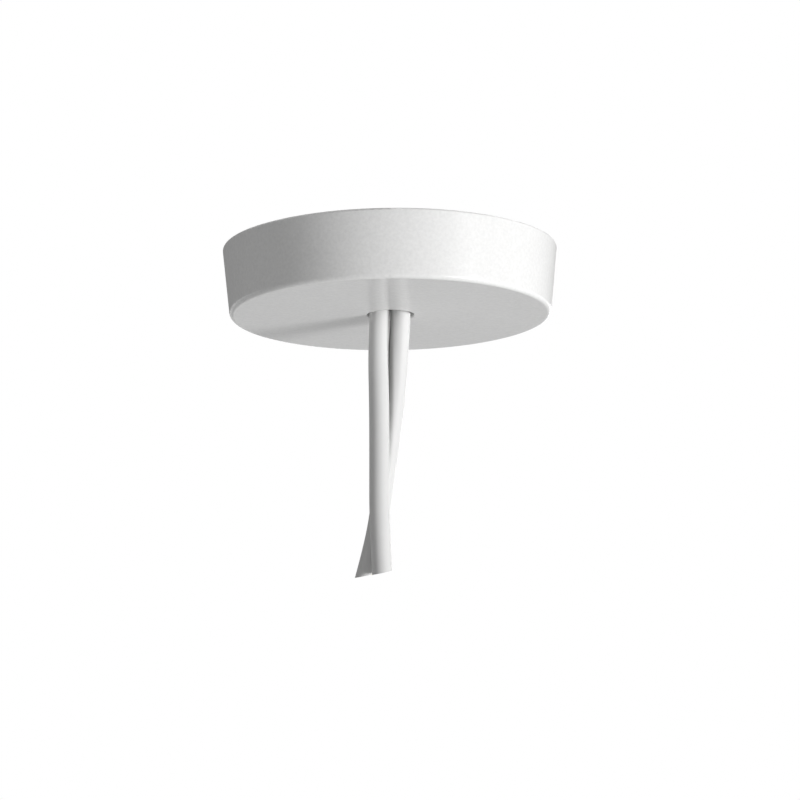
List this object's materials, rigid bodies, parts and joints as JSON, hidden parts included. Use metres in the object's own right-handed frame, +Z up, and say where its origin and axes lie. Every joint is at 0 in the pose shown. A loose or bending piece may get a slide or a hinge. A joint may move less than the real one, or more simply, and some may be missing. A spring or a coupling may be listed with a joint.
{
  "type": "electrical ceiling rose",
  "caption": "White round ceiling rose: a shallow push-fit cup covers the terminals and cord clamp on a ceiling plate, and two round cords hang from the hole in its middle.",
  "frame": {"origin": "middle of the base plate's flat upper face, in the plane of the ceiling", "axes": "+Z up into the ceiling, X along the line of the ceiling screws, -Y towards the viewer of the picture; the cords hang along -Z"},
  "size_m": [0.1198, 0.1198, 0.1208],
  "materials": {
    "cover_white": "satin gloss, smooth moulded",
    "base_white": "fine moulded texture",
    "spring_steel": "rolled strip",
    "plated_steel": "bright zinc",
    "terminal_plastic": "natural moulded",
    "terminal_brass": "machined",
    "cord_white": "smooth extruded sheath",
    "core_brown": "smooth insulation",
    "core_green_yellow": "green and yellow striped insulation",
    "core_blue": "smooth insulation",
    "conductor_copper": "bare copper"
  },
  "bodies": {
    "base": {"base_plate": "base_white", "spring_clip_front": "spring_steel", "spring_clip_right": "spring_steel", "spring_clip_left": "spring_steel", "clip_screws": "plated_steel", "cord_clamp_bar": "base_white", "cord_clamp_screws": "plated_steel", "terminal_housing": "terminal_plastic", "terminal_tube_live": "terminal_brass", "terminal_tube_earth": "terminal_brass", "terminal_tube_neutral": "terminal_brass", "terminal_screws": "plated_steel", "housing_screws": "plated_steel", "cord_left": "cord_white", "cord_right": "cord_white", "left_live_core": "core_brown", "left_earth_core": "core_green_yellow", "left_neutral_core": "core_blue", "right_live_core": "core_brown", "right_earth_core": "core_green_yellow", "right_neutral_core": "core_blue", "conductor_ends": "conductor_copper"},
    "cover": {"cover_cup": "cover_white"}
  },
  "joints": [
    {"name": "cover_drop", "type": "slide", "parent": "base", "child": "cover", "axis": [0, 0, -1], "range_m": [0, 0.04]}
  ]
}
